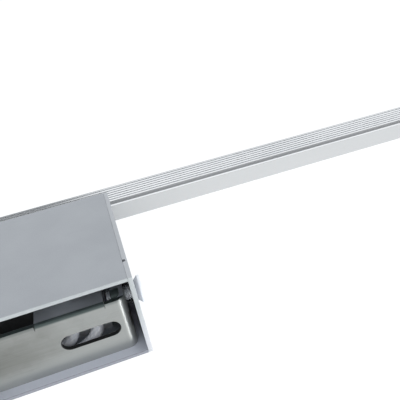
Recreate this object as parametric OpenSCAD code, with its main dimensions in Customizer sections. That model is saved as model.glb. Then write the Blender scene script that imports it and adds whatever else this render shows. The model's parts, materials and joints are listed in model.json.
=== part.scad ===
// Wall-mounted linear LED light bar.
// X runs along the bar, +Y from the wall into the room, +Z up.
// The origin lies on the wall plane, midway between the two wall-screw slots.

/* [Housing] */
// Length of the housing along the bar
housing_len = 140; // [140:1:170]
// Height of the housing
housing_h = 32; // [31:0.5:36]
// Depth of the housing from the wall
housing_d = 56; // [55:1:64]
// Thickness of the folded housing sheet
sheet_t = 1.2; // [1:0.1:1.3]
// Thickness of the two end plates
end_t = 1.5; // [1.4:0.1:2]
// Outer radius of the two front folds
fold_r = 1.6; // [1.4:0.1:2]

/* [Wall bracket] */
// Thickness of the galvanised bracket sheet
bracket_t = 1.5; // [1.2:0.1:1.5]
// Height of the bracket's plate
bracket_h = 21; // [20:0.5:21]
// Distance that the plate stands off the wall
recess = 3.5; // [2.5:0.5:4]
// Outer radius of the flanges' folds
bend_r = 3; // [2.5:0.1:3.2]
// Gap between a bracket flange and its end plate
flange_gap = 2.25; // [1.5:0.25:3]
// Distance between the centres of the two wall slots
slot_spacing = 106; // [100:1:106]
// End-to-end length of a wall slot
slot_len = 19; // [14:0.5:19]
// Width of a wall slot
slot_w = 6; // [5:0.5:6.5]

/* [Side screws] */
// Distance of a side screw's axis from the wall
screw_y = 13.4; // [12:0.1:14]
// Thread diameter of a side screw
screw_d = 5; // [5:1:5]
// Overall length of a side screw
screw_len = 12; // [10:1:12]
// Rim diameter of a side screw's flared head
head_d = 9.3; // [8.8:0.1:10]
// Diameter where the head's cone meets the end plate
seat_d = 6.6; // [6:0.1:7]

/* [Light bar] */
// Overall length of the bar with its end caps
bar_len = 500; // [400:10:600]
// Depth of the bar's profile
bar_d = 16.4; // [16:0.1:18]
// Height of the bar's profile
bar_h = 7; // [7:0.1:7.5]
// Drop of the bar's top below the housing's top
bar_drop = 7.3; // [6:0.1:8]
// Number of cooling ribs on top
rib_count = 7; // [5:1:8]
// Depth of each valley between the ribs
rib_h = 1; // [0.6:0.1:1.2]
// Number of LEDs on the board
led_count = 48; // [24:1:60]

/* [Hidden] */
$fn = 48;
fit = 0.05;                          // radial clearance of a running fit

housing_bottom = -sheet_t - bracket_h / 2;
housing_top = housing_bottom + housing_h;
half_len = housing_len / 2;
inner_top = housing_top - sheet_t;
inner_bottom = housing_bottom + sheet_t;
inner_front = housing_d - sheet_t;
inner_end = half_len - end_t;

plate_front = recess + bracket_t;
flange_out = inner_end - flange_gap;
flange_in = flange_out - bracket_t;
flange_d = 20;                       // how far an end flange reaches from the wall side
tab_d = 7;                           // how far the two top tabs reach
tab_r = 1.6;
tab_to = flange_out - 6.7;
tab_from = tab_to - 21.2;
relief = 0.15;                       // cut beside each tab
boss_x = 17;                         // stand-off bosses that bear on the wall
boss_d = 12;
cable_hole_d = 13;

screw_z = (housing_top + housing_bottom) / 2 - 0.4;
rim_t = 0.9;
cone_out = (head_d - seat_d) / 2;    // a 90 degree cone outside the end plate
cone_in = (seat_d - screw_d) / 2;
screw_rim = half_len + cone_out + rim_t;
screw_tip = screw_rim - screw_len;
nut_d = 9;
nut_t = 3;
pilot_d = 7;
ring_t = 0.8;

bar_back = housing_d;
bar_top = housing_top - bar_drop;
bar_bottom = bar_top - bar_h;
cap_t = 2;
profile_half = bar_len / 2 - cap_t;
edge_t = 1.3;                        // rear edge strip of the profile
groove_w = 2.8;
floor_t = 1.2;
rib_from = edge_t + groove_w;
rib_pitch = (bar_d - rib_from) / (rib_count - 0.45);
rib_w = 0.55 * rib_pitch;
side_t = 1.1;
channel_from = rib_from + side_t;
channel_to = bar_d - side_t;
channel_top = bar_h - rib_h - 1.2;
clip_z = 0.45;
clip_h = 0.6;
clip_d = 0.4;
diffuser_t = 1.3;

tray_t = 1;
tray_half = inner_end - 5.5;
tray_rear = 12;
tray_top = 15;
tray_front = inner_front - tray_t;
tray_floor = inner_bottom + tray_t;

bar_screw_x = 50;
bar_screw_z = bar_bottom + 4;
washer_t = 0.5;
m3 = 3;
m3_clear = m3 + 0.4;
exit_x = -44;                        // where the LED leads leave the housing
exit_z = bar_bottom + 3.1;
minus_x = exit_x + 1.4;
bush_d = 5;

driver_from = -38;
driver_to = 40;
driver_rear = 16;
driver_front = 50;
driver_h = 19;
driver_t = 1.6;
driver_lid_t = 1.8;
driver_top = tray_floor + driver_h;
ear_w = 7;
ear_t = 2;
ear_y = 44;
board_from_floor = 1.5;              // feet under the driver's circuit board
driver_board_z = tray_floor + driver_t + board_from_floor;
component_z = driver_board_z + 1.6;

// where the leads leave the driver, and their diameters
live_x = 34;
neutral_x = 28;
mains_z = tray_floor + 2.4;
lamp_y = 36;
lamp_z = tray_floor + 6;
lamp_gap = 3;
lead_d = 2.4;
led_lead_d = 1.4;
sleeve_d = 4.2;                      // glass-fibre sleeves over the mains leads
sleeve_bore = 2.9;
facets = 8;                          // sides of a lead's rings
mains_steps = 3;                     // rings between two points of a mains route

block_from = 42.6;
block_rear = 14.5;
block_d = 15;
block_h = 12.5;
pole_pitch = 8;
pole_count = 2;
block_w = pole_count * pole_pitch + 0.6;
block_z = tray_floor + 6.6;          // wire axis of the terminals
block_top = tray_floor + block_h;
foot_x = 46.5;                       // fixing foot beside the block
foot_y = block_rear + block_d + 3.7;
foot_w = 6.8;
foot_t = 2;
tunnel_d = 4;                        // wire tunnel of a pole
tunnel_bore = 2.9;

earth_x = 53;
earth_y = 44;

board_w = 8;
board_t = 0.8;
tape_t = 0.2;
board_half = profile_half - 8;
channel_mid = bar_back + (channel_from + channel_to) / 2;
tape_z = bar_bottom + channel_top;
board_z = tape_z - tape_t - board_t;
led_pitch = (2 * board_half - 12) / (led_count - 1);

steel = "Silver";
zinc = [0.75, 0.78, 0.8];
paint = [0.69, 0.71, 0.74];

// ---- helpers -------------------------------------------------------------

// A flat outline drawn in (Y, Z) and carried along X
module in_yz(x0, x1) {
    translate([x0, 0, 0]) rotate([90, 0, 90]) linear_extrude(x1 - x0) children();
}

// A flat outline drawn in (X, Z) and carried along Y
module in_xz(y0, y1) {
    translate([0, y1, 0]) rotate([90, 0, 0]) linear_extrude(y1 - y0) children();
}

// A flat outline drawn in (X, Y) and carried along Z
module in_xy(z0, z1) {
    translate([0, 0, z0]) linear_extrude(z1 - z0) children();
}

module rod_x(x0, x1, d, d2 = undef) {
    translate([x0, 0, 0]) rotate([0, 90, 0]) cylinder(d1 = d, d2 = is_undef(d2) ? d : d2, h = x1 - x0);
}

module rod_y(y0, y1, d) {
    translate([0, y0, 0]) rotate([-90, 0, 0]) cylinder(d = d, h = y1 - y0);
}

module rod_z(z0, z1, d) {
    translate([0, 0, z0]) cylinder(d = d, h = z1 - z0);
}

module box(x0, x1, y0, y1, z0, z1) {
    translate([x0, y0, z0]) cube([x1 - x0, y1 - y0, z1 - z0]);
}

// The same piece on both ends of the light
module both_sides() {
    children();
    mirror([1, 0, 0]) children();
}

// An L of folded sheet, outer corner at the origin, legs along +x and +y
module fold_profile(leg_x, leg_y, t, r) {
    translate([r, 0]) square([leg_x - r, t]);
    translate([0, r]) square([t, leg_y - r]);
    intersection() {
        translate([r, r]) difference() {
            circle(r);
            circle(r - t);
        }
        square(r);
    }
}

// An upright slot outline centred on the origin
module slot_outline(len, w) {
    square([len - w, w], center = true);
    for (side = [-1, 1]) translate([side * (len - w) / 2, 0]) circle(d = w);
}

// Screw with a low round head and a cross recess, its head's seat at the origin, shank towards +z
module pan_screw(d, len, head, head_h) {
    difference() {
        union() {
            translate([0, 0, -head_h]) cylinder(d = head, h = head_h);
            cylinder(d = d, h = len);
        }
        for (turn = [0, 90]) {
            rotate(turn) translate([-head * 0.28, -head * 0.06, -head_h - 1])
                cube([head * 0.56, head * 0.12, 1 + head_h * 0.55]);
        }
    }
}

// ---- housing ---------------------------------------------------------------

// The outline of the folded front, grown inwards by a margin
module front_outline(margin) {
    r = fold_r - margin;
    y_far = housing_d - margin;
    z_low = housing_bottom + margin;
    z_high = housing_top - margin;
    translate([-margin, z_low]) square([y_far - r + margin, z_high - z_low]);
    translate([-margin, z_low + r]) square([y_far + margin, z_high - z_low - 2 * r]);
    for (z = [z_low + r, z_high - r]) translate([y_far - r, z]) circle(r);
}

module end_outline() {
    intersection() {
        front_outline(0);
        translate([0, housing_bottom]) square([housing_d, housing_h]);
    }
}

module housing_shell() {
    color(paint) difference() {
        in_yz(-inner_end, inner_end) difference() {
            front_outline(0);
            front_outline(sheet_t);
        }
        both_sides() translate([bar_screw_x, 0, bar_screw_z]) rod_y(inner_front - 1, housing_d + 1, m3_clear);
        translate([exit_x, 0, exit_z]) rod_y(inner_front - 1, housing_d + 1, bush_d);
    }
}

// Closes one end of the shell; two folded lugs under the top wall and over the bottom wall hold it
module end_plate() {
    lug_from = 24;
    lug_to = 50;
    lug_len = 5;
    notch_y = 8.5;
    notch_w = 1.2;
    difference() {
        union() {
            in_yz(inner_end, half_len) end_outline();
            box(inner_end - lug_len, inner_end, lug_from, lug_to, inner_top - end_t, inner_top);
            box(inner_end - lug_len, inner_end, lug_from, lug_to, inner_bottom, inner_bottom + tray_t);
        }
        translate([0, screw_y, screw_z]) rod_x(inner_end - 1, half_len + 1, seat_d + 2 * fit);
        box(inner_end - 1, half_len - 0.6, notch_y, notch_y + notch_w, inner_top, housing_top + 1);
    }
}

module left_end_plate() {
    color(paint) mirror([1, 0, 0]) end_plate();
}

module right_end_plate() {
    color(paint) end_plate();
}

// ---- wall bracket ----------------------------------------------------------

module wall_bracket() {
    top = bracket_h / 2;
    web_end = flange_out - bend_r;
    color("DarkSeaGreen") difference() {
        union() {
            // plate between the flanges, with room along its top for the tabs
            difference() {
                box(-web_end, web_end, recess, plate_front, -top, top);
                both_sides() box(tab_from - relief, tab_to + relief, recess - 1, plate_front + 1,
                    top - tab_r, top + 1);
            }
            // two tabs folded away from the wall
            both_sides() in_yz(tab_from, tab_to) translate([recess, top]) mirror([0, 1])
                fold_profile(tab_d, tab_r + 0.1, bracket_t, tab_r);
            // end flanges that take the side screws
            both_sides() in_xy(-top, top) translate([flange_out, recess]) mirror([1, 0])
                fold_profile(bend_r + 0.5, flange_d, bracket_t, bend_r);
            // pressed bosses that bear on the wall
            both_sides() translate([boss_x, 0, 0]) rod_y(0, recess + 0.5, boss_d);
        }
        both_sides() translate([boss_x, 0, 0]) rod_y(bracket_t, plate_front + 1, boss_d - 2 * bracket_t);
        both_sides() in_xz(recess - 1, plate_front + 1)
            translate([slot_spacing / 2, 0]) slot_outline(slot_len, slot_w);
        both_sides() translate([0, screw_y, screw_z]) rod_x(flange_in - 1, flange_out + 1, pilot_d);
        rod_y(-1, plate_front + 1, cable_hole_d);
    }
}

// Soft ring in the bracket's cable hole, with a sleeve for the supply cable
module cable_grommet() {
    rim = 0.9;
    color("DimGray") difference() {
        union() {
            rod_y(recess - rim, plate_front + rim, cable_hole_d);
            rod_y(recess - rim, recess, cable_hole_d + 2.6);
            rod_y(plate_front, plate_front + rim, cable_hole_d + 2.6);
        }
        rod_y(0, plate_front + 2, cable_hole_d - 4);
    }
}

// Threaded nut pressed into a bracket flange from the inside
module clinch_nut() {
    translate([0, screw_y, screw_z]) difference() {
        union() {
            rod_x(flange_in, flange_out, pilot_d);
            rod_x(flange_in - nut_t, flange_in, nut_d);
        }
        rod_x(flange_in - nut_t - 1, flange_out + 1, screw_d + 2 * fit);
    }
}

module left_clinch_nut() {
    color(zinc) mirror([1, 0, 0]) clinch_nut();
}

module right_clinch_nut() {
    color(zinc) clinch_nut();
}

// ---- side screws -----------------------------------------------------------

module side_screw() {
    recess_depth = 1.2;
    arm_w = 0.9;
    arm_len = 5;
    translate([0, screw_y, screw_z]) difference() {
        union() {
            rod_x(screw_tip, half_len - cone_in, screw_d);
            rod_x(half_len - cone_in, screw_rim - rim_t, screw_d, head_d);
            rod_x(screw_rim - rim_t, screw_rim, head_d);
        }
        for (turn = [0, 90]) {
            rotate([turn, 0, 0]) box(screw_rim - recess_depth, screw_rim + 1,
                -arm_len / 2, arm_len / 2, -arm_w / 2, arm_w / 2);
        }
    }
}

module left_side_screw() {
    color(zinc) mirror([1, 0, 0]) side_screw();
}

module right_side_screw() {
    color(zinc) side_screw();
}

// Sealing ring on the screw's shank, just inside the head's cone
module screw_ring() {
    ring_out = half_len - cone_in;
    translate([0, screw_y, screw_z]) difference() {
        rod_x(ring_out - ring_t, ring_out, seat_d - 2 * fit);
        rod_x(ring_out - ring_t - 1, ring_out + 1, screw_d + 2 * fit);
    }
}

module left_screw_ring() {
    color("Ivory") mirror([1, 0, 0]) screw_ring();
}

module right_screw_ring() {
    color("Ivory") screw_ring();
}

// ---- inner tray and driver -------------------------------------------------

module inner_tray() {
    color(steel) difference() {
        in_yz(-tray_half, tray_half) translate([inner_front, inner_bottom]) mirror([1, 0])
            fold_profile(inner_front - tray_rear, tray_top - inner_bottom, tray_t, 1.6);
        both_sides() translate([bar_screw_x, 0, bar_screw_z])
            rod_y(tray_front - 1, inner_front + 1, m3_clear);
        translate([exit_x, 0, exit_z]) rod_y(tray_front - 1, inner_front + 1, bush_d + 4);
        for (x = [driver_from - ear_w / 2, driver_to + ear_w / 2]) {
            translate([x, ear_y, 0]) rod_z(inner_bottom - 0.5, tray_floor + 1, m3);
        }
        translate([foot_x, foot_y, 0]) rod_z(inner_bottom - 0.5, tray_floor + 1, m3);
        translate([earth_x, earth_y, 0]) rod_z(inner_bottom - 0.5, tray_floor + 1, 4);
    }
}

module driver_case() {
    color([0.12, 0.12, 0.13]) difference() {
        union() {
            box(driver_from, driver_to, driver_rear, driver_front, tray_floor, driver_top - driver_lid_t);
            for (x = [driver_from - ear_w, driver_to]) {
                box(x, x + ear_w, ear_y - ear_w / 2, ear_y + ear_w / 2, tray_floor, tray_floor + ear_t);
            }
        }
        box(driver_from + driver_t, driver_to - driver_t, driver_rear + driver_t,
            driver_front - driver_t, tray_floor + driver_t, driver_top);
        for (x = [driver_from - ear_w / 2, driver_to + ear_w / 2]) {
            translate([x, ear_y, 0]) rod_z(tray_floor - 1, tray_floor + ear_t + 1, m3 + 0.2);
        }
        // lead outlets, mains side and lamp side
        for (x = [neutral_x, live_x]) {
            translate([x, 0, mains_z]) rod_y(driver_rear - 1, driver_rear + driver_t + 1, lead_d);
        }
        for (z = [lamp_z, lamp_z + lamp_gap]) {
            translate([0, lamp_y, z]) rod_x(driver_from - 1, driver_from + 3, led_lead_d);
        }
    }
}

module driver_lid() {
    lip = 1;
    gap = 0.1;
    inset = driver_t + gap;
    color([0.16, 0.16, 0.17]) union() {
        box(driver_from, driver_to, driver_rear, driver_front, driver_top - driver_lid_t, driver_top);
        difference() {
            box(driver_from + inset, driver_to - inset, driver_rear + inset, driver_front - inset,
                driver_top - driver_lid_t - 2, driver_top - driver_lid_t);
            box(driver_from + inset + lip, driver_to - inset - lip, driver_rear + inset + lip,
                driver_front - inset - lip, driver_top - driver_lid_t - 3, driver_top - driver_lid_t);
        }
    }
}

module driver_board() {
    edge = driver_t + 0.4;
    color("DarkGreen") union() {
        box(driver_from + edge, driver_to - edge, driver_rear + edge, driver_front - edge,
            driver_board_z, component_z);
        for (x = [driver_from + 8, driver_to - 8], y = [driver_rear + 6, driver_front - 6]) {
            translate([x, y, 0]) rod_z(tray_floor + driver_t, driver_board_z, 3);
        }
    }
}

// Ferrite core with its winding standing proud on two sides
module driver_transformer() {
    core_w = 16;
    core_d = 14;
    winding = 18;
    color("SaddleBrown") translate([-4, 33, component_z]) union() {
        translate([-core_w / 2, -core_d / 2, 0]) cube([core_w, core_d, 3]);
        translate([-core_w / 2, -core_d / 2, 8]) cube([core_w, core_d, 3]);
        translate([-4, -core_d / 2, 3]) cube([8, core_d, 5]);
        translate([-5.5, -winding / 2, 3]) cube([11, winding, 5]);
    }
}

// Two smoothing capacitors on the board
module driver_capacitors() {
    sizes = [[-27, 10, 11.5], [19, 8, 11]];
    color("MidnightBlue") for (s = sizes) {
        translate([s[0], 33, component_z]) cylinder(d = s[1], h = s[2]);
    }
}

module driver_choke() {
    color("Peru") translate([31, 33, component_z]) difference() {
        cylinder(d = 9, h = 7);
        translate([0, 0, 1]) cylinder(d = 3, h = 7);
    }
}

module driver_screws() {
    color(zinc) for (x = [driver_from - ear_w / 2, driver_to + ear_w / 2]) {
        translate([x, ear_y, tray_floor + ear_t]) mirror([0, 0, 1]) pan_screw(m3 - 0.1, ear_t + tray_t, 5.4, 1.9);
    }
}

// ---- terminal block and earthing -------------------------------------------

function pole_x(i) = block_from + 0.3 + (i + 0.5) * pole_pitch;
clamp_ys = [block_rear + 3.4, block_rear + block_d - 3.4];

module terminal_block() {
    color("WhiteSmoke") difference() {
        union() {
            box(block_from, block_from + block_w, block_rear, block_rear + block_d, tray_floor, block_top - 3);
            for (i = [0 : pole_count - 1]) {
                translate([pole_x(i), 0, 0]) in_xy(block_top - 3, block_top)
                    translate([-pole_pitch / 2 + 0.35, block_rear]) square([pole_pitch - 0.7, block_d]);
            }
            box(foot_x - foot_w / 2, foot_x + foot_w / 2, block_rear + block_d - 1, foot_y + foot_w / 2,
                tray_floor, tray_floor + foot_t);
        }
        for (i = [0 : pole_count - 1]) {
            translate([pole_x(i), 0, block_z]) rod_y(block_rear - 1, block_rear + block_d + 1, tunnel_d);
            for (y = clamp_ys) translate([pole_x(i), y, 0]) rod_z(block_z, block_top + 1, 3.4);
        }
        translate([foot_x, foot_y, 0]) rod_z(tray_floor - 1, block_z, m3 + 0.3);
    }
}

module terminal_sleeves() {
    color("Gold") for (i = [0 : pole_count - 1]) {
        translate([pole_x(i), 0, block_z]) difference() {
            rod_y(block_rear + 1, block_rear + block_d - 1, tunnel_d);
            rod_y(block_rear, block_rear + block_d, tunnel_bore);
            for (y = clamp_ys) translate([0, y, 0]) rod_z(0, sleeve_d, 2.4);
        }
    }
}

module terminal_screws() {
    head_h = 1.6;
    slot = 0.5;
    bite = 1.05;
    color(zinc) for (i = [0 : pole_count - 1], y = clamp_ys) {
        translate([pole_x(i), y, block_z]) difference() {
            union() {
                rod_z(bite, 3, 2.4);
                rod_z(3, 3 + head_h, 3.2);
            }
            translate([-2, -slot / 2, 3 + head_h / 2]) cube([4, slot, head_h]);
        }
    }
}

module block_screw() {
    color(zinc) translate([foot_x, foot_y, tray_floor + foot_t])
        mirror([0, 0, 1]) pan_screw(m3 - 0.1, foot_t + tray_t, 5.2, 1.6);
}

module earth_screw() {
    color("Gold") translate([earth_x, earth_y, tray_floor + 1.4])
        mirror([0, 0, 1]) pan_screw(3.9, 1.4 + tray_t, 7, 2.4);
}

// Toothed washer between the tray and the tag
module earth_washer() {
    teeth = 10;
    color(steel) translate([earth_x, earth_y, tray_floor]) difference() {
        union() {
            cylinder(d = 6.6, h = 0.6);
            for (i = [0 : teeth - 1]) rotate(i * 360 / teeth) translate([2.8, -0.5, 0]) cube([1.3, 1, 0.6]);
        }
        translate([0, 0, -1]) cylinder(d = 4.1, h = 3);
    }
}

// Ring tag whose open crimp takes the supply's earth wire
module earth_tag() {
    t = 0.8;
    crimp_len = 5;
    color(steel) translate([earth_x, earth_y, tray_floor + 0.6]) difference() {
        union() {
            cylinder(d = 8, h = t);
            translate([-2, -7, 0]) cube([4, 7, t]);
            translate([0, 0, lead_d / 2 + 0.45]) rod_y(-7 - crimp_len, -6, lead_d + 1);
        }
        translate([0, 0, -1]) cylinder(d = 4.1, h = 3);
        translate([0, 0, lead_d / 2 + 0.45]) rod_y(-8 - crimp_len, -6.5, lead_d);
    }
}

// ---- leads -----------------------------------------------------------------

function unit(v) = v / norm(v);

// A point on the smooth curve through the route's points p
function curve_at(p, i, t) =
    let (
        n = len(p) - 1,
        a = p[max(i - 1, 0)],
        b = p[i],
        c = p[i + 1],
        d = p[min(i + 2, n)]
    )
    b + 0.5 * t * (c - a + t * (2 * a - 5 * b + 4 * c - d + t * (3 * b - 3 * c + d - a)));

function smooth_route(p, steps) = concat(
    [for (i = [0 : len(p) - 2], s = [0 : steps - 1]) curve_at(p, i, s / steps)],
    [p[len(p) - 1]]
);

function heading(q, i) = unit(q[min(i + 1, len(q) - 1)] - q[max(i - 1, 0)]);

// Side directions carried along the route without twist
function carried(side, along) = unit(side - (side * along) * along);

function sides(q, i, side) =
    let (s = carried(side, heading(q, i)))
    i == len(q) - 1 ? [s] : concat([s], sides(q, i + 1, s));

// Rings of points round the path q
function rings(q, d) =
    let (us = sides(q, 0, abs(heading(q, 0)[2]) < 0.9 ? [0, 0, 1] : [1, 0, 0]))
    [
        for (i = [0 : len(q) - 1], k = [0 : facets - 1])
            let (
                u = us[i],
                v = cross(heading(q, i), u),
                a = 360 * k / facets
            )
            q[i] + d / 2 * (cos(a) * u + sin(a) * v)
    ];

// Faces between neighbouring rings, the first point of which has the index base
function walls(count, base = 0) = [
    for (i = [0 : count - 2], k = [0 : facets - 1])
        let (
            j = (k + 1) % facets,
            near = base + i * facets,
            far = near + facets
        )
        [far + k, far + j, near + j, near + k]
];

function turned_over(faces) = [for (f = faces) [for (i = [len(f) - 1 : -1 : 0]) f[i]]];

// Round insulated wire along the path q
module wire(q, d) {
    start = [for (k = [0 : facets - 1]) k];
    finish = [for (k = [facets - 1 : -1 : 0]) (len(q) - 1) * facets + k];
    polyhedron(rings(q, d), concat([start], walls(len(q)), [finish]));
}

// Soft sleeve over a stretch of wire
module sleeve(q, d, bore) {
    count = len(q);
    inner = count * facets;
    mouth = [
        for (k = [0 : facets - 1])
            let (j = (k + 1) % facets)
            [k, j, inner + j, inner + k]
    ];
    far_mouth = [
        for (k = [0 : facets - 1])
            let (
                j = (k + 1) % facets,
                last = inner - facets
            )
            [last + j, last + k, inner + last + k, inner + last + j]
    ];
    polyhedron(
        concat(rings(q, d), rings(q, bore)),
        concat(walls(count), turned_over(walls(count, inner)), mouth, far_mouth)
    );
}

// Routes of the mains leads from the driver to the terminals, with heights above the tray's floor
live_route = [
    [live_x, driver_rear + 1.4, 2.4], [live_x, driver_rear - 1.4, 2.4], [34.8, 11.9, 2.4], [37.2, 10.3, 2.3],
    [40.5, 10.1, 2.4], [43.4, 10.1, 3.1], [45.6, 10.5, 4.3], [46.7, 11.8, 5.7], [46.9, 13.4, 6.5],
    [46.9, 15, 6.6], [46.9, 16.6, 6.6]
];
neutral_route = [
    [neutral_x, driver_rear + 1.4, 2.4], [neutral_x, driver_rear - 1.6, 2.1], [28.8, 11.2, 1.5],
    [31.4, 8.6, 0.6], [35, 7.5, 0.3], [40, 7.4, 0.4], [45, 7.4, 1.1], [49.5, 7.7, 1.9], [52.6, 8.9, 3.1],
    [54.4, 10.4, 4.8], [54.9, 12.3, 6.3], [54.9, 14.4, 6.6], [54.9, 16.6, 6.6]
];

// Routes of the LED leads, from the driver's end wall to the board in the bar
plus_route = [
    [driver_from + 1, lamp_y, lamp_z], [-40, 36, lamp_z], [-43.5, 38, lamp_z + 1.5], [-46, 42, 2],
    [-45.4, 47, 6.4], [exit_x - 0.4, bar_back - 5, exit_z - 0.5], [exit_x, bar_back - 2, exit_z],
    [exit_x, bar_back + 2, exit_z], [exit_x, bar_back + 5, exit_z], [exit_x, bar_back + 7, exit_z]
];
minus_route = [
    [driver_from + 1, lamp_y, lamp_z + lamp_gap], [-40, 36, lamp_z + 3.1], [-42, 37.5, 2],
    [-43.3, 42, 6.4], [-42.8, 47, 9.4], [minus_x, bar_back - 5, exit_z + 0.5],
    [minus_x, bar_back - 2, exit_z], [minus_x, bar_back + 2, exit_z],
    [minus_x, bar_back + 5, exit_z], [minus_x, bar_back + 7, exit_z]
];

live_path = smooth_route(live_route, mains_steps);
neutral_path = smooth_route(neutral_route, mains_steps);

// A run of a path's points, the last of them to_end points short of its end
function stretch(path, points, to_end) = [
    for (i = [len(path) - to_end - points : len(path) - to_end - 1]) path[i]
];

module live_lead() {
    color("Gainsboro") translate([0, 0, tray_floor]) wire(live_path, lead_d);
}

module neutral_lead() {
    color("Gainsboro") translate([0, 0, tray_floor]) wire(neutral_path, lead_d);
}

// Heat-proof sleeves on the mains leads, up to the terminal block
module lead_sleeves() {
    for (path = [live_path, neutral_path]) {
        color("White") translate([0, 0, tray_floor]) sleeve(stretch(path, 12, 5), sleeve_d, sleeve_bore);
    }
}

module led_lead_plus() {
    color("Crimson") wire(smooth_route(plus_route, 2), led_lead_d);
}

module led_lead_minus() {
    color([0.1, 0.1, 0.1]) wire(smooth_route(minus_route, 2), led_lead_d);
}

// Insulating bush for the leads through the front wall and the bar's rear edge
module wire_bush() {
    bore = [3.4, 1.9];
    color("DimGray") translate([exit_x, 0, exit_z]) difference() {
        union() {
            rod_y(inner_front - 1, bar_back + edge_t, bush_d);
            rod_y(inner_front - 1, inner_front, bush_d + 3);
        }
        in_xz(inner_front - 2, bar_back + edge_t + 1) translate([0.7, 0]) slot_outline(bore[0], bore[1]);
    }
}

// ---- light bar ---------------------------------------------------------------

// Section of the extruded bar, drawn from its rear lower corner
module bar_section() {
    difference() {
        square([bar_d, bar_h]);
        translate([edge_t, floor_t]) square([groove_w, bar_h]);
        for (i = [0 : rib_count - 2]) {
            translate([rib_from + i * rib_pitch + rib_w, bar_h - rib_h]) square([rib_pitch - rib_w, rib_h + 1]);
        }
        translate([channel_from, -1]) square([channel_to - channel_from, channel_top + 1]);
        translate([channel_from - clip_d, clip_z]) square([channel_to - channel_from + 2 * clip_d, clip_h]);
    }
}

module bar_profile() {
    color(steel) difference() {
        in_yz(-profile_half, profile_half) translate([bar_back, bar_bottom]) bar_section();
        both_sides() translate([bar_screw_x, 0, bar_screw_z]) rod_y(bar_back - 1, bar_back + edge_t + 0.5, m3_clear);
        translate([exit_x, 0, exit_z]) rod_y(bar_back - 1, bar_back + edge_t + 0.5, bush_d);
        translate([exit_x + 0.7, 0, exit_z]) in_xz(bar_back + edge_t, bar_back + channel_from + 1)
            slot_outline(3.4, 1.9);
    }
}

module bar_screws() {
    color(zinc) both_sides() translate([bar_screw_x, tray_front - washer_t, bar_screw_z]) rotate([-90, 0, 0])
        pan_screw(m3 - 0.1, 6, 5.6, 2);
}

module bar_washers() {
    color(steel) both_sides() translate([bar_screw_x, 0, bar_screw_z]) difference() {
        rod_y(tray_front - washer_t, tray_front, 6.4);
        rod_y(tray_front - 1, inner_front, m3 + 0.2);
    }
}

// Square nuts that sit on edge in the bar's groove
module slot_nuts() {
    nut_w = 5.5;
    nut_h = 1.8;
    color(zinc) both_sides() translate([bar_screw_x, 0, bar_screw_z]) difference() {
        in_xz(bar_back + edge_t, bar_back + edge_t + nut_h) square(nut_w, center = true);
        rod_y(bar_back, bar_back + rib_from, m3);
    }
}

module board_tape() {
    color("Tan") box(-board_half, board_half, channel_mid - board_w / 2, channel_mid + board_w / 2,
        tape_z - tape_t, tape_z);
}

module led_board() {
    color("White") box(-board_half, board_half, channel_mid - board_w / 2, channel_mid + board_w / 2,
        board_z, board_z + board_t);
}

module led_emitters() {
    size = [2.8, 3.5, 0.7];
    color("Khaki") for (i = [0 : led_count - 1]) {
        translate([(i - (led_count - 1) / 2) * led_pitch - size[0] / 2, channel_mid - size[1] / 2,
            board_z - size[2]]) cube(size);
    }
}

// Opal strip whose edges snap into the channel's sides
module diffuser() {
    gap = 0.1;
    from = bar_back + channel_from + gap;
    to = bar_back + channel_to - gap;
    color([1, 1, 1, 0.8]) in_yz(-profile_half, profile_half) union() {
        translate([from, bar_bottom]) square([to - from, diffuser_t]);
        translate([from - clip_d, bar_bottom + clip_z + gap])
            square([to - from + 2 * clip_d, clip_h - 2 * gap]);
    }
}

// Cap with a plug that fills the LED channel above the diffuser
module end_cap() {
    plug_len = 5;
    gap = 0.1;
    plug_low = bar_bottom + diffuser_t + gap;
    union() {
        box(profile_half, profile_half + cap_t, bar_back, bar_back + bar_d, bar_bottom, bar_top);
        box(profile_half - plug_len, profile_half, bar_back + channel_from + gap,
            bar_back + channel_to - gap, plug_low, bar_bottom + channel_top - gap);
        box(profile_half - plug_len, profile_half, bar_back + edge_t + gap,
            bar_back + rib_from - gap, bar_bottom + floor_t + gap, bar_top - 1);
    }
}

module left_end_cap() {
    color(paint) mirror([1, 0, 0]) end_cap();
}

module right_end_cap() {
    color(paint) end_cap();
}

// ---- nodes -------------------------------------------------------------------

housing_shell();
left_end_plate();
right_end_plate();
wall_bracket();
cable_grommet();
left_clinch_nut();
right_clinch_nut();
left_screw_ring();
right_screw_ring();
left_side_screw();
right_side_screw();
inner_tray();
driver_case();
driver_lid();
driver_board();
driver_transformer();
driver_capacitors();
driver_choke();
driver_screws();
terminal_block();
terminal_sleeves();
terminal_screws();
block_screw();
earth_screw();
earth_washer();
earth_tag();
live_lead();
neutral_lead();
lead_sleeves();
led_lead_plus();
led_lead_minus();
wire_bush();
bar_profile();
bar_screws();
bar_washers();
slot_nuts();
board_tape();
led_board();
led_emitters();
diffuser();
left_end_cap();
right_end_cap();
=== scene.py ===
"""Wall-mounted LED light bar: the finished look of each piece, around the fixed frame."""

import json
import math

import bmesh
import bpy
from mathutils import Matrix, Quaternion, Vector

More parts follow.
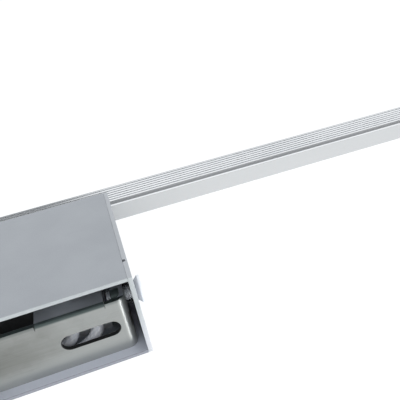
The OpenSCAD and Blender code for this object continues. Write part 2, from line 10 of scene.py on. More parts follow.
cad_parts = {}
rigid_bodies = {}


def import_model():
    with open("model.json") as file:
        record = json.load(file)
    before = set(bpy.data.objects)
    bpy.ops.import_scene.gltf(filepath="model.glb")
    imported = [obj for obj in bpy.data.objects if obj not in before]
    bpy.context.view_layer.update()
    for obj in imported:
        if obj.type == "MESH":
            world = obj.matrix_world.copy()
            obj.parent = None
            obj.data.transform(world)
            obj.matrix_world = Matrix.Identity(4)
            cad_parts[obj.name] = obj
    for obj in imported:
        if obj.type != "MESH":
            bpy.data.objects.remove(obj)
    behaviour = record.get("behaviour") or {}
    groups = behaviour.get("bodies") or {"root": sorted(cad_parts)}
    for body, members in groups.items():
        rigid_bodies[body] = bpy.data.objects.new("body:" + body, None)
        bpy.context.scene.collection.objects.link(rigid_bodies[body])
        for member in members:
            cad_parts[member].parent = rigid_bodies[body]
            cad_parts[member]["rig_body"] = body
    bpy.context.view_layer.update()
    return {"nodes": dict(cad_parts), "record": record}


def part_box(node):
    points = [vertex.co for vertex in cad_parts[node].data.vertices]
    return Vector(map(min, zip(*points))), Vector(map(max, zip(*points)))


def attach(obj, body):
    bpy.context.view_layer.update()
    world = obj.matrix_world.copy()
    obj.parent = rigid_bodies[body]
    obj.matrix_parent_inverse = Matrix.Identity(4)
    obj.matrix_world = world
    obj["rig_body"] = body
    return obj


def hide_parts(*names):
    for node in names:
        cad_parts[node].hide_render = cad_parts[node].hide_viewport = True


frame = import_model()
MM = 0.001
SLOT_OF = {part["node"]: part["material_slot"] for part in frame["record"]["subparts"]}
BODY_OF = {node: piece["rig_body"] for node, piece in frame["nodes"].items()}


# ---- shader maths -----------------------------------------------------------


class Field:
    """A number that varies over a surface; reckoning with it adds the nodes that do so."""

    def __init__(self, finish, socket):
        self.finish = finish
        self.socket = socket

    def reckon(self, operation, *operands):
        return self.finish.node("ShaderNodeMath", {"operation": operation}, dict(enumerate(operands)))

    def __add__(self, other):
        return self.reckon("ADD", self, other)

    def __sub__(self, other):
        return self.reckon("SUBTRACT", self, other)

    def __mul__(self, other):
        return self.reckon("MULTIPLY", self, other)

    def __rsub__(self, other):
        return self.reckon("SUBTRACT", other, self)

    def __gt__(self, other):
        return self.reckon("GREATER_THAN", self, other)

    def __lt__(self, other):
        return self.reckon("LESS_THAN", self, other)

    __radd__ = __add__
    __rmul__ = __mul__

    def part(self):
        """What is left over a whole number"""
        return self.reckon("FRACT", self)

    def size(self):
        return self.reckon("ABSOLUTE", self)

    def over(self, low, high):
        """0 below low, 1 above high, and smooth between them"""
        sockets = {"Value": self, "From Min": low, "From Max": high}
        return self.finish.node("ShaderNodeMapRange", {"interpolation_type": "SMOOTHSTEP"}, sockets)


class Finish:
    """A piece's surface: a principled shader and the nodes that vary it."""

    def __init__(self, name, **constants):
        self.material = bpy.data.materials.new(name)
        self.material.use_nodes = True
        self.tree = self.material.node_tree
        self.shader = self.tree.nodes["Principled BSDF"]
        for socket, value in constants.items():
            self.shader.inputs[socket.replace("_", " ").title().replace("Ior", "IOR")].default_value = value

    def node(self, kind, settings, sockets, output=0):
        made = self.tree.nodes.new(kind)
        for name, value in settings.items():
            setattr(made, name, value)
        for name, value in sockets.items():
            self.feed(made.inputs[name], value)
        return Field(self, made.outputs[output])

    def feed(self, socket, value):
        if isinstance(value, Field):
            self.tree.links.new(value.socket, socket)
        else:
            socket.default_value = value

    def vary(self, **sockets):
        """Feeds the shader's own sockets, such as roughness or base_color"""
        for name, value in sockets.items():
            self.feed(self.shader.inputs[name.replace("_", " ").title()], value)

    def place(self, stretch=(1, 1, 1)):
        """Where a point lies, in millimetres, with each direction drawn out by stretch"""
        scale = tuple(1 / (MM * s) for s in stretch)
        spot = self.node("ShaderNodeTexCoord", {}, {}, output="Object")
        return self.node("ShaderNodeVectorMath", {"operation": "MULTIPLY"}, {0: spot, 1: scale})

    def along(self, axis):
        return self.node("ShaderNodeSeparateXYZ", {}, {0: self.place()}, output=axis)

    def facing(self, axis):
        """1 or -1 where the surface looks along the axis, 0 where it lies beside it"""
        normal = self.node("ShaderNodeTexCoord", {}, {}, output="Normal")
        return self.node("ShaderNodeSeparateXYZ", {}, {0: normal}, output=axis)

    def wound(self, axis):
        """On a lead: X counts turns round it, Y counts millimetres along it"""
        spot = self.node("ShaderNodeUVMap", {"uv_map": "wound"}, {})
        return self.node("ShaderNodeSeparateXYZ", {}, {0: spot}, output=axis)

    def noise(self, grain, stretch=(1, 1, 1), detail=2.0):
        """Soft noise from 0 to 1 with grains of that many millimetres"""
        sockets = {"Vector": self.place(stretch), "Scale": 1 / grain, "Detail": detail}
        return self.node("ShaderNodeTexNoise", {}, sockets)

    def cells(self, grain):
        """A random tone for each crystal or grain of that many millimetres"""
        sockets = {"Vector": self.place(), "Scale": 1 / grain}
        colour = self.node("ShaderNodeTexVoronoi", {}, sockets, output="Color")
        return self.node("ShaderNodeSeparateColor", {}, {0: colour})

    def rim(self):
        """1 on the eased edges of a piece, 0 elsewhere"""
        return self.node("ShaderNodeAttribute", {"attribute_name": "rim"}, {}, output="Fac")

    def blend(self, mask, low, high):
        """The colour low where mask is 0 and high where it is 1"""
        colours = {"Factor": mask, 6: as_colour(low), 7: as_colour(high)}
        return self.node("ShaderNodeMix", {"data_type": "RGBA"}, colours, output=2)

    def relief(self, height, depth):
        """Raises the surface by height times depth millimetres"""
        self.vary(normal=self.node("ShaderNodeBump", {}, {"Distance": depth * MM, "Height": height}))


def as_colour(value):
    return value if isinstance(value, Field) else (*value, 1)


# ---- finishes ---------------------------------------------------------------


def housing_paint():
    """Satin silver-grey paint, rubbed on the eased edges and off on the cut rear edges, with painted light
    and shade on the end plates and the lower wall
    """
    f = Finish("housing_paint", specular_ior_level=0.45)
    ends_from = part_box("housing_shell")[1].x / MM
    lower_wall_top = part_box("inner_tray")[0].z / MM
    mottle = f.noise(16, detail=3)
    flake = f.noise(0.35, detail=1)
    tone = 0.6 * mottle + 0.4 * flake
    paint = f.blend(tone.over(0.3, 0.7), (0.295, 0.313, 0.338), (0.335, 0.354, 0.379))
    end_plate = f.along("X").size().over(ends_from - 0.1, ends_from + 0.1)
    # painted highlight: the end plates' upward faces are made paler
    lit_end_plate_top = end_plate * f.facing("Z").over(0.5, 0.9)
    rubbed = f.rim() * f.noise(2.5, detail=4).over(0.42, 0.7)
    rear_edge = 1 - f.along("Y").over(0.1, 0.3)
    low = 1 - f.along("Z").over(lower_wall_top - 0.1, lower_wall_top + 0.3)
    cut = rear_edge * (1 - low * (1 - end_plate))
    grain = f.noise(0.25, stretch=(6, 1, 6), detail=2)
    bare = f.blend(grain, (0.36, 0.39, 0.4), (0.46, 0.49, 0.5))
    # painted highlight: the end plates' bare rear edges are made paler towards the bottom
    lit_lower_end = end_plate * (1 - f.along("Z").over(-8, 12))
    bright = f.blend(0.7 * lit_lower_end, bare, (0.6, 0.61, 0.65))
    # paler where the paint is rubbed on the eased edges, plus the painted highlight on the end plates' tops
    worn = f.blend(0.35 * rubbed + 0.3 * lit_end_plate_top, paint, (0.56, 0.58, 0.6))
    # painted light: the lower wall's upward inner face is made pale and bluish, as if lit
    lit_lower_floor = f.facing("Z").over(0.5, 0.9) * low
    worn_and_lit_floor = f.blend(lit_lower_floor, worn, (0.64, 0.67, 0.76))
    # painted shade: the lower wall's cut rear edge is made darker than the paint
    dull = f.blend(rear_edge * low, worn_and_lit_floor, (0.25, 0.262, 0.3))
    f.vary(base_color=f.blend(cut, dull, bright))
    f.vary(roughness=0.36 + 0.12 * mottle + 0.1 * cut, metallic=0.3 + 0.2 * rubbed)
    f.relief(f.noise(0.8, detail=1) + 0.5 * f.noise(3), 0.012)
    return f.material


def galvanised(name, light, dark, crystal, slot_edge_shade=0.0):
    """Zinc-coated sheet: crystals, rolling lines and a dull bloom, with painted light and shade: paler
    towards the ends, the bottom and the tab tops, darker in its folds, along its top strip and on its slot
    edges
    """
    f = Finish(name, specular_ior_level=0.5)
    crystals = 0.6 * f.cells(crystal) + 0.4 * f.cells(0.45 * crystal)
    lines = f.noise(0.6, stretch=(26, 1, 1), detail=2)
    bloom = f.noise(14, detail=4)
    # painted light: paler towards the ends
    painted_light_towards_ends = f.along("X").size().over(8, 66)
    # painted light: paler towards the bottom
    low = 1 - f.along("Z").over(-10.5, -1)
    # random crystals, rolling lines and bloom, plus the painted light towards the ends and the bottom
    tone = 0.1 * crystals + 0.15 * lines + 0.25 * bloom + 0.5 * painted_light_towards_ends + 0.5 * low
    coat_with_painted_light = f.blend(tone.over(0.1, 0.9), dark, light)
    # painted light: the tabs' upward faces are made paler and bluish
    painted_light_tab_top = f.facing("Z").over(0.93, 0.99) * f.along("Y").over(4.8, 5.3)
    # painted shade: darker on the upward-facing fold faces and along the top strip under the housing's top
    # wall
    shade = f.along("Z").over(9.0, 10.6)
    upward = f.facing("Z").over(0.25, 0.6)
    shaded_folds = upward + 0.6 * shade * (1 - upward)
    # painted shade: faces across the sheet within the slots' height, the slots' cut faces among them, are
    # made near-black
    slot_half_height = 3.1
    shaded_slot_faces = slot_edge_shade * (f.facing("Y").size() < 0.5) * (f.along("Z").size() < slot_half_height)
    with_painted_shade = f.blend(shaded_folds, coat_with_painted_light, (0.07, 0.09, 0.088))
    with_painted_light_tab = f.blend(painted_light_tab_top, with_painted_shade, (0.5, 0.53, 0.57))
    f.vary(base_color=f.blend(shaded_slot_faces, with_painted_light_tab, (0.06, 0.06, 0.062)))
    f.vary(metallic=0.75 - 0.25 * bloom.over(0.5, 0.75), roughness=0.3 + 0.06 * crystals + 0.1 * bloom)
    f.relief(0.5 * lines + 0.5 * f.noise(1.2), 0.006)
    return f.material


def zinc_plate():
    """Bright bluish zinc on turned and pressed fasteners, with painted shade darkening the faces that are
    square to the bar
    """
    f = Finish("zinc_plate", metallic=0.3)
    stain = f.noise(3, detail=4)
    scratch = f.noise(0.25, stretch=(1, 8, 1), detail=2)
    turned = f.blend(stain.over(0.35, 0.7), (0.88, 0.92, 0.97), (0.94, 0.96, 0.99))
    # painted shade: faces square to the bar are made darker, with stains
    shaded_end_faces = f.facing("X").size().over(0.9, 0.98)
    f.vary(base_color=f.blend(shaded_end_faces, turned, f.blend(stain, (0.34, 0.36, 0.39), (0.5, 0.52, 0.55))))
    f.vary(roughness=0.27 + 0.16 * scratch + 0.1 * f.rim())
    f.relief(scratch, 0.006)
    return f.material


def anodised_aluminium():
    """Extruded profile, clear anodised, with die lines along it and a shade where it passes the box"""
    f = Finish("anodised_aluminium")
    die_lines = f.noise(0.22, stretch=(400, 1, 1), detail=3)
    bloom = f.noise(8, stretch=(5, 1, 1), detail=3)
    tone = 0.6 * die_lines + 0.4 * bloom
    skin = f.blend(tone.over(0.3, 0.7), (0.74, 0.755, 0.77), (0.85, 0.86, 0.87))
    depth = f.along("Y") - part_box("bar_profile")[0].y / MM
    shaded_wall_side = 1 - depth.over(0.05, 0.3)
    groove = depth.over(1.0, 1.4) * (1 - depth.over(4.0, 4.4))
    # painted shade: the front lip's edge line is made dark
    shaded_front_lip = depth.over(15.7, 16.0)
    # painted shade: the rear face against the wall is made darker
    back = f.blend(shaded_wall_side, skin, (0.5, 0.51, 0.515))
    with_shaded_front_lip = f.blend(shaded_front_lip, back, (0.4, 0.41, 0.42))
    front_top = depth.over(10, 11) * f.facing("Z").over(0.3, 0.7)
    at_box = front_top * (1 - f.along("X").size().over(40, 76))
    shaded = f.blend(at_box, with_shaded_front_lip, (0.24, 0.25, 0.26))
    # painted light: the groove is made a matte pale grey so it looks lit despite its depth
    f.vary(base_color=f.blend(groove, shaded, (0.52, 0.53, 0.54)))
    f.vary(metallic=0.92 - 0.1 * bloom - 0.8 * groove - 0.75 * shaded_wall_side)
    f.vary(roughness=0.3 + 0.14 * die_lines + 0.3 * groove + 0.45 * shaded_wall_side)
    f.relief(die_lines, 0.008)
    return f.material


def moulded(name, colour, texture=0.35, depth=0.02, roughness=0.45, **constants):
    """Moulded plastic: a fine spark texture, slight flow marks and paler eased edges"""
    f = Finish(name, **constants)
    spark = f.noise(texture, detail=2)
    flow = f.noise(9, stretch=(2, 1, 1), detail=3)
    deep = tuple(0.88 * c for c in colour)
    worn = tuple(min(1, 1.25 * c + 0.02) for c in colour)
    body = f.blend(flow.over(0.3, 0.7), deep, colour)
    f.vary(base_color=f.blend(0.4 * f.rim(), body, worn))
    f.vary(roughness=roughness + 0.15 * spark - 0.06 * flow)
    f.relief(spark, depth)
    return f.material


def black_rubber():
    """Soft dark rubber with mould bloom"""
    f = Finish("black_rubber", specular_ior_level=0.3)
    bloom = f.noise(4, detail=5)
    f.vary(base_color=f.blend(bloom.over(0.4, 0.75), (0.022, 0.022, 0.024), (0.055, 0.055, 0.058)))
    f.vary(roughness=0.7 + 0.2 * f.noise(0.5))
    f.relief(f.noise(0.4, detail=3), 0.025)
    return f.material


def glass_sleeve():
    """Braided glass-fibre sleeve: two sets of strands that cross as they wind round the lead"""
    f = Finish("glass_sleeve", coat_roughness=0.35)
    turn = 7 * f.wound("X")
    run = 0.4 * f.wound("Y")
    one_way = ((turn + run).part() - 0.5).size()
    other_way = ((turn - run).part() - 0.5).size()
    braid = 2 * (one_way * other_way).over(0.0, 0.16)
    grime = f.noise(3, detail=3)
    f.vary(base_color=f.blend(braid, (0.76, 0.79, 0.86), (0.9, 0.92, 0.97)))
    f.vary(roughness=0.5 + 0.2 * grime, coat_weight=0.25 * grime)
    f.relief(braid, 0.05)
    return f.material


def insulation(name, colour):
    """Extruded wire insulation, slightly waxy"""
    f = Finish(name, coat_roughness=0.4)
    drawn = f.noise(0.5, detail=2)
    deep = tuple(0.8 * c for c in colour)
    f.vary(base_color=f.blend(f.noise(5, detail=3).over(0.3, 0.7), deep, colour))
    f.vary(roughness=0.38 + 0.15 * drawn, coat_weight=0.1 + 0.1 * drawn)
    f.relief(drawn, 0.01)
    return f.material


def brass(name, light, dark, roughness=0.25):
    """Turned brass, tin or copper with a trace of tarnish"""
    f = Finish(name, metallic=1.0)
    tarnish = f.noise(2.2, detail=5)
    turning = f.noise(0.15, stretch=(1, 6, 1), detail=1)
    f.vary(base_color=f.blend(tarnish.over(0.35, 0.75), light, dark))
    f.vary(roughness=roughness + 0.2 * tarnish.over(0.4, 0.8) + 0.08 * turning)
    f.relief(turning, 0.006)
    return f.material


def circuit_green():
    """Solder mask over copper tracks, with bright pads"""
    f = Finish("circuit_green", coat_roughness=0.15)
    weave = (f.along("X") * 1.6).part().over(0.3, 0.5) * (f.along("Y") * 0.55).part().over(0.35, 0.45)
    pads = f.cells(1.7) > 0.86
    mask = f.blend(weave, (0.008, 0.07, 0.03), (0.015, 0.13, 0.05))
    f.vary(base_color=f.blend(pads, mask, (0.7, 0.68, 0.6)))
    f.vary(metallic=0.8 * pads, roughness=0.3 + 0.2 * f.noise(1), coat_weight=0.5 - 0.4 * pads)
    f.relief(weave + pads, 0.03)
    return f.material


def winding(name, light, dark, turn):
    """Enamelled wire wound round and round, each turn that many millimetres wide"""
    f = Finish(name, coat_weight=0.4, coat_roughness=0.2)
    across = (f.along("Z") * (1 / turn)).part()
    groove = (across - 0.5).size() * 2
    # painted shade: darker where neighbouring turns meet, lighter on each turn's crest
    f.vary(base_color=f.blend(groove * groove, light, dark))
    f.vary(roughness=0.25 + 0.2 * f.noise(0.6), metallic=0.75 - 0.3 * groove)
    f.relief(1 - groove * groove, 0.5 * turn)
    return f.material


def adhesive_tape():
    """Woven carrier tape with adhesive on both faces"""
    f = Finish("adhesive_tape")
    weave = (f.along("X") * 2.5).part().over(0.2, 0.8) * (f.along("Y") * 2.5).part().over(0.2, 0.8)
    f.vary(base_color=f.blend(weave, (0.5, 0.46, 0.36), (0.68, 0.64, 0.52)))
    f.vary(roughness=0.55 + 0.25 * f.noise(0.7))
    f.relief(weave, 0.04)
    return f.material


def board_white():
    """White solder mask with copper tracks showing faintly beneath it"""
    f = Finish("board_white", coat_weight=0.3, coat_roughness=0.2)
    track = (f.along("X") * 0.1).part().over(0.08, 0.1) * f.noise(6, stretch=(6, 1, 1)).over(0.45, 0.5)
    f.vary(base_color=f.blend(track, (0.8, 0.8, 0.77), (0.87, 0.87, 0.85)))
    f.vary(roughness=0.32 + 0.15 * f.noise(0.8))
    f.relief(track, 0.035)
    return f.material


def phosphor():
    """Yellow phosphor in a white frame, one window on each LED"""
    f = Finish("phosphor", coat_weight=0.5, coat_roughness=0.1)
    low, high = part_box("led_emitters")
    led_count = 48
    width = 2.8
    middle = (low.y + high.y) / 2 / MM
    pitch = ((high.x - low.x) / MM - width) / (led_count - 1)
    beside = (((f.along("X") - low.x / MM - width / 2) * (1 / pitch) + 0.5).part() - 0.5).size() * pitch
    beyond = (f.along("Y") - middle).size()
    window = (1 - beside.over(0.95, 1.05)) * (1 - beyond.over(1.25, 1.35))
    f.vary(base_color=f.blend(window, (0.86, 0.86, 0.84), (0.9, 0.68, 0.12)))
    f.vary(roughness=0.4 - 0.2 * window + 0.1 * f.noise(0.3))
    f.relief(1 - window, 0.08)
    return f.material


def opal_plastic():
    """Milky diffuser with faint extrusion lines"""
    reach = 4 * MM
    f = Finish("opal_plastic", subsurface_weight=0.6, subsurface_radius=(reach,) * 3, subsurface_scale=0.5)
    lines = f.noise(0.3, stretch=(300, 1, 1), detail=2)
    cloud = f.noise(10, stretch=(3, 1, 1), detail=2)
    f.vary(base_color=f.blend(cloud.over(0.3, 0.7), (0.86, 0.865, 0.87), (0.91, 0.912, 0.91)))
    f.vary(roughness=0.34 + 0.12 * lines)
    f.relief(lines, 0.006)
    return f.material


FINISHES = {
    "housing_paint": housing_paint(),
    "galvanised_steel": galvanised(
        "galvanised_steel", (0.34, 0.353, 0.345), (0.145, 0.149, 0.136), 5, slot_edge_shade=1.0
    ),
    # painted light: the tray's zinc sheet is made far paler than the bracket's, standing in for light
    # inside the housing
    "tray_steel": galvanised("tray_steel", (0.82, 0.81, 0.82), (0.7, 0.69, 0.71), 7),
    "black_rubber": black_rubber(),
    # painted shade: the clinch nuts' zinc is made near-black, as they sit in shade
    "clinch_zinc": galvanised("clinch_zinc", (0.09, 0.1, 0.1), (0.05, 0.06, 0.06), 1.5),
    "zinc_plate": zinc_plate(),
    "ring_nylon": moulded("ring_nylon", (0.78, 0.77, 0.72), subsurface_weight=0.15),
    "driver_plastic": moulded(
        "driver_plastic", (0.045, 0.046, 0.048), texture=0.6, depth=0.05, roughness=0.5
    ),
    "circuit_green": circuit_green(),
    "transformer_tape": winding("transformer_tape", (0.62, 0.45, 0.1), (0.12, 0.08, 0.03), 0.5),
    "capacitor_sleeve": moulded("capacitor_sleeve", (0.02, 0.025, 0.09), depth=0.005, roughness=0.2),
    "choke_copper": winding("choke_copper", (0.7, 0.33, 0.13), (0.16, 0.06, 0.03), 0.6),
    "block_nylon": moulded("block_nylon", (0.68, 0.67, 0.7), subsurface_weight=0.1),
    "brass": brass("brass", (0.86, 0.68, 0.34), (0.5, 0.34, 0.14)),
    "tinned_copper": brass("tinned_copper", (0.74, 0.73, 0.7), (0.5, 0.48, 0.44), 0.3),
    "grey_insulation": insulation("grey_insulation", (0.62, 0.61, 0.66)),
    "glass_sleeve": glass_sleeve(),
    "red_insulation": insulation("red_insulation", (0.5, 0.02, 0.02)),
    "black_insulation": insulation("black_insulation", (0.015, 0.015, 0.017)),
    "anodised_aluminium": anodised_aluminium(),
    "adhesive_tape": adhesive_tape(),
    "board_white": board_white(),
    "phosphor": phosphor(),
    "opal_plastic": opal_plastic(),
    "cap_plastic": moulded("cap_plastic", (0.45, 0.46, 0.48), roughness=0.4),
}


# ---- pieces -----------------------------------------------------------------


def fit_piece(name, mesh, node):
    """A new piece that stands for a node of the frame and wears its finish"""
    piece = bpy.data.objects.new(name, mesh)
    bpy.context.scene.collection.objects.link(piece)
    piece.data.materials.append(FINISHES[SLOT_OF[node]])
    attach(piece, BODY_OF[node])
    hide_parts(node)
    return piece


def eased(node, radius):
    """The node's own shape with every sharp edge rounded to radius, in millimetres"""
    shape = bmesh.new()
    shape.from_mesh(frame["nodes"][node].data)
    rim = shape.faces.layers.float.new("rim")
    bmesh.ops.remove_doubles(shape, verts=shape.verts, dist=0.002 * MM)
    bmesh.ops.dissolve_limit(shape, angle_limit=math.radians(0.5), verts=shape.verts, edges=shape.edges)
    corner = math.radians(30)
    sharp = [edge for edge in shape.edges if edge.is_manifold and edge.calc_face_angle() > corner]
    rounded = bmesh.ops.bevel(
        shape, geom=sharp, offset=radius * MM, segments=2, profile=0.5, affect="EDGES", clamp_overlap=True
    )
    for face in shape.faces:
        face.smooth = True
    for face in rounded["faces"]:
        face[rim] = 1.0
    mesh = bpy.data.meshes.new(f"eased_{node}")
    shape.to_mesh(mesh)
    shape.free()
    piece = fit_piece(f"eased_{node}", mesh, node)
    piece.modifiers.new("flat faces stay flat", "WEIGHTED_NORMAL").weight = 90


def lofted(shape, rings, closed=True):
    """Joins each ring of corners to the next one with faces, and returns those faces"""
    corners = [[shape.verts.new(point) for point in ring] for ring in rings]
    count = len(rings[0])
    faces = []
    for near, far in zip(corners, corners[1:]):
        for k in range(count):
            faces.append(shape.faces.new((near[k], near[(k + 1) % count], far[(k + 1) % count], far[k])))
    if closed:
        shape.faces.new(corners[0][::-1])
        shape.faces.new(corners[-1])
    return faces


def thread(node, side):
    """Cuts a side screw's plain shank back and rolls a thread between there and its tip"""
    low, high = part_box(node)
    axis_y = (low.y + high.y) / 2
    axis_z = (low.z + high.z) / 2
    tip = (low.x if side > 0 else high.x) * side
    start = tip + 0.02 * MM
    length = 9 * MM
    end = start + length
    pitch = 0.8 * MM
    run_in = 1.2 * pitch
    core = 2.02 * MM
    height = 0.46 * MM
    sides = 48
    rings_per_turn = 8
    cut_back = 0.96
    overlap = 0.1 * MM
    for corner in bpy.data.meshes[f"eased_{node}"].vertices:
        if corner.co.x * side < start + 1 * MM:
            corner.co.x = side * (end - overlap)
            corner.co.y = axis_y + cut_back * (corner.co.y - axis_y)
            corner.co.z = axis_z + cut_back * (corner.co.z - axis_z)
    shape = bmesh.new()
    rings = []
    for step in range(round(length / pitch * rings_per_turn) + 1):
        x = start + step * pitch / rings_per_turn
        grown = min(1, (x - start) / run_in)
        ring = []
        for k in range(sides):
            phase = (step / rings_per_turn - k / sides) % 1
            crest = 1 - 2 * abs(phase - 0.5)
            radius = core + grown * height * min(1, 1.25 * crest)
            angle = math.tau * k / sides
            y = axis_y + radius * math.cos(angle)
            z = axis_z + side * radius * math.sin(angle)
            ring.append((side * x, y, z))
        rings.append(ring)
    lofted(shape, rings)
    bmesh.ops.recalc_face_normals(shape, faces=shape.faces)
    finished(shape, f"thread_{node}", node)


def finished(shape, name, node):
    """Turns a drawn shape into a smooth piece that stands for the node"""
    for face in shape.faces:
        face.smooth = True
    mesh = bpy.data.meshes.new(name)
    shape.to_mesh(mesh)
    shape.free()
    fit_piece(name, mesh, node)


# how far each piece's edges are rounded, in millimetres
EASING = {
    "housing_shell": 0.15, "left_end_plate": 0.2, "right_end_plate": 0.2, "wall_bracket": 0.15,
    "cable_grommet": 0.3, "left_clinch_nut": 0.15, "right_clinch_nut": 0.15, "left_screw_ring": 0.1,
    "right_screw_ring": 0.1, "left_side_screw": 0.08, "right_side_screw": 0.08, "inner_tray": 0.12,
    "driver_case": 0.4, "driver_lid": 0.4, "driver_board": 0.05, "driver_transformer": 0.25,
    "driver_capacitors": 0.5, "driver_choke": 0.5, "driver_screws": 0.12, "block_screw": 0.12,
    "terminal_block": 0.12, "terminal_screws": 0.06, "terminal_sleeves": 0.06,
    "earth_screw": 0.15, "earth_washer": 0.05, "earth_tag": 0.08, "wire_bush": 0.2, "bar_profile": 0.12,
    "bar_screws": 0.12, "bar_washers": 0.08, "slot_nuts": 0.12, "board_tape": 0.03, "led_board": 0.05,
    "led_emitters": 0.08, "diffuser": 0.1, "left_end_cap": 0.3, "right_end_cap": 0.3,
}
for node, radius in EASING.items():
    eased(node, radius)
thread("left_side_screw", -1)
thread("right_side_screw", 1)


# ---- leads ------------------------------------------------------------------

# each route's points, in millimetres, with the heights counted from the tray's floor
TRAY_SHEET = 1.0
TRAY_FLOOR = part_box("inner_tray")[0].z / MM + TRAY_SHEET
LIVE_ROUTE = [
    (34, 17.4, 2.4), (34, 14.6, 2.4), (34.8, 11.9, 2.4), (37.2, 10.3, 2.3), (40.5, 10.1, 2.4),
    (43.4, 10.1, 3.1), (45.6, 10.5, 4.3), (46.7, 11.8, 5.7), (46.9, 13.4, 6.5), (46.9, 15, 6.6),
    (46.9, 16.6, 6.6),
]
NEUTRAL_ROUTE = [
    (28, 17.4, 2.4), (28, 14.4, 2.1), (28.8, 11.2, 1.5), (31.4, 8.6, 0.6), (35, 7.5, 0.3),
    (40, 7.4, 0.4), (45, 7.4, 1.1), (49.5, 7.7, 1.9), (52.6, 8.9, 3.1), (54.4, 10.4, 4.8),
    (54.9, 12.3, 6.3), (54.9, 14.4, 6.6), (54.9, 16.6, 6.6),
]
PLUS_ROUTE = [
    (-37, 36, 6), (-40, 36, 6), (-43.5, 38, 7.5), (-46, 42, 11.5), (-45.4, 47, 15.9),
    (-44.4, 51, 18.1), (-44, 54, 18.6), (-44, 58, 18.6), (-44, 61, 18.6), (-44, 63, 18.6),
]
MINUS_ROUTE = [
    (-37, 36, 9), (-40, 36, 9.1), (-42, 37.5, 11.5), (-43.3, 42, 15.9), (-42.8, 47, 18.9),
    (-42.6, 51, 19.1), (-42.6, 54, 18.6), (-42.6, 58, 18.6), (-42.6, 61, 18.6), (-42.6, 63, 18.6),
]

# outer diameters of the leads and of their sleeves, in millimetres
MAINS_LEAD = 2.4
LED_LEAD = 1.4
SLEEVE_OUTSIDE = 4.1
SLEEVE_BORE = 2.9


def smooth_route(points, steps):
    """Points on the smooth curve through a route, with that many steps between two of its points"""
    route = [Vector((x, y, z + TRAY_FLOOR)) * MM for x, y, z in points]
    last = len(route) - 1
    path = []
    for i in range(last):
        before, a, b, after = route[max(i - 1, 0)], route[i], route[i + 1], route[min(i + 2, last)]
        for step in range(steps):
            t = step / steps
            cubic = 3 * a - 3 * b + after - before
            swing = b - before + t * (2 * before - 5 * a + 4 * b - after + t * cubic)
            path.append(a + 0.5 * t * swing)
    return path + [route[last]]


def sweep(shape, path, diameter, wound, closed=True):
    """A round tube along the path, with turns and millimetres marked on it"""
    sides = 20
    ahead = [(path[min(i + 1, len(path) - 1)] - path[max(i - 1, 0)]).normalized() for i in range(len(path))]
    across = Vector((0, 0, 1))
    rings = []
    travelled = [0.0]
    for i, point in enumerate(path):
        across = (across - across.dot(ahead[i]) * ahead[i]).normalized()
        beside = ahead[i].cross(across)
        ring = []
        for k in range(sides):
            angle = math.tau * k / sides
            ring.append(point + diameter / 2 * MM * (math.cos(angle) * across + math.sin(angle) * beside))
        rings.append(ring)
        if i:
            travelled.append(travelled[-1] + (point - path[i - 1]).length / MM)
    for n, face in enumerate(lofted(shape, rings, closed)):
        i, k = divmod(n, sides)
        corners = ((k, i), (k + 1, i), (k + 1, i + 1), (k, i + 1))
        for loop, (turn, step) in zip(face.loops, corners):
            loop[wound].uv = (turn / sides, travelled[step])
    return rings


def lead(node, points, diameter):
    """One insulated lead along its route"""
    shape = bmesh.new()
    wound = shape.loops.layers.uv.new("wound")
    sweep(shape, smooth_route(points, 8), diameter, wound)
    bmesh.ops.recalc_face_normals(shape, faces=shape.faces)
    finished(shape, f"drawn_{node}", node)


def lead_sleeves():
    """The braided sleeves over one stretch of both mains leads"""
    shape = bmesh.new()
    wound = shape.loops.layers.uv.new("wound")
    steps = 12
    sleeved = slice(-67, -19)  # the sleeve's stretch of the path, counted back from its end
    for points in (LIVE_ROUTE, NEUTRAL_ROUTE):
        path = smooth_route(points, steps)[sleeved]
        outer = sweep(shape, path, SLEEVE_OUTSIDE, wound, closed=False)
        inner = sweep(shape, path, SLEEVE_BORE, wound, closed=False)
        for end in (0, -1):
            lofted(shape, [outer[end], inner[end]], closed=False)
    bmesh.ops.remove_doubles(shape, verts=shape.verts, dist=0.001 * MM)
    bmesh.ops.recalc_face_normals(shape, faces=shape.faces)
    finished(shape, "braided_lead_sleeves", "lead_sleeves")


lead("live_lead", LIVE_ROUTE, MAINS_LEAD)
lead("neutral_lead", NEUTRAL_ROUTE, MAINS_LEAD)
lead("led_lead_plus", PLUS_ROUTE, LED_LEAD)
lead("led_lead_minus", MINUS_ROUTE, LED_LEAD)
lead_sleeves()

# the frame's own nodes wear the same finishes
for node, slot in SLOT_OF.items():
    frame["nodes"][node].material_slots[0].material = FINISHES[slot]


# ---- stage ------------------------------------------------------------------


def look_from(azimuth, elevation, roll):
    """The turn of a camera that looks azimuth degrees right of +Y and elevation degrees down"""
    across = math.cos(math.radians(elevation))
    view = Vector((
        math.sin(math.radians(azimuth)) * across,
        math.cos(math.radians(azimuth)) * across,
        -math.sin(math.radians(elevation)),
    ))
    return view.to_track_quat("-Z", "Y") @ Quaternion((0, 0, 1), math.radians(roll))


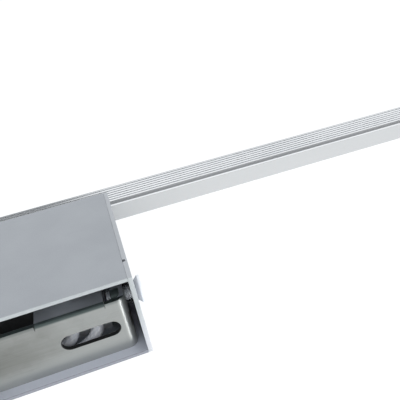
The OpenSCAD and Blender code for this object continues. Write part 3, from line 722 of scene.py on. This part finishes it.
def camera():
    eye = bpy.data.objects.new("camera", bpy.data.cameras.new("camera"))
    bpy.context.scene.collection.objects.link(eye)
    eye.location = (0.0695, -0.1086, 0.1071)
    eye.rotation_mode = "QUATERNION"
    eye.rotation_quaternion = look_from(12.64, 31.4, -9.6)
    eye.data.lens = 41.9
    eye.data.clip_start = 0.005
    bpy.context.scene.camera = eye


def soft_light(name, place, aim, width, height, power, spread=180):
    """A rectangular lamp at place that shines on aim, in metres and watts"""
    lamp = bpy.data.lights.new(name, "AREA")
    lamp.spread = math.radians(spread)
    lamp.shape = "RECTANGLE"
    lamp.size = width
    lamp.size_y = height
    lamp.energy = power
    softbox = bpy.data.objects.new(name, lamp)
    bpy.context.scene.collection.objects.link(softbox)
    softbox.location = place
    softbox.rotation_mode = "QUATERNION"
    softbox.rotation_quaternion = (Vector(aim) - Vector(place)).to_track_quat("-Z", "Y")


def studio():
    world = bpy.data.worlds.new("studio")
    bpy.context.scene.world = world
    world.use_nodes = True
    sky = world.node_tree.nodes["Background"].inputs
    sky["Color"].default_value = (0.97, 0.985, 1.0, 1)
    sky["Strength"].default_value = 1.14
    soft_light("front_softbox", (0.2, -1.2, 0.5), (0, 0, 0), 2.4, 1.6, 1.5)
    soft_light("side_softbox", (0.37, -0.3, -0.26), (0.06, 0, 0), 0.36, 0.3, 0.155, spread=25)
    bpy.context.scene.view_settings.view_transform = "Standard"


def floor():
    """A plain pale floor, well below the light"""
    drop = 0.35
    ground = bmesh.new()
    bmesh.ops.create_grid(ground, x_segments=1, y_segments=1, size=6)
    bmesh.ops.translate(ground, verts=ground.verts, vec=(0, 0, -drop))
    mesh = bpy.data.meshes.new("floor")
    ground.to_mesh(mesh)
    ground.free()
    surface = bpy.data.objects.new("floor", mesh)
    bpy.context.scene.collection.objects.link(surface)
    f = Finish("pale_floor", roughness=0.9, specular_ior_level=0.1)
    f.vary(base_color=f.blend(f.noise(300), (0.92, 0.92, 0.92), (0.94, 0.94, 0.94)))
    surface.data.materials.append(f.material)


camera()
studio()
floor()
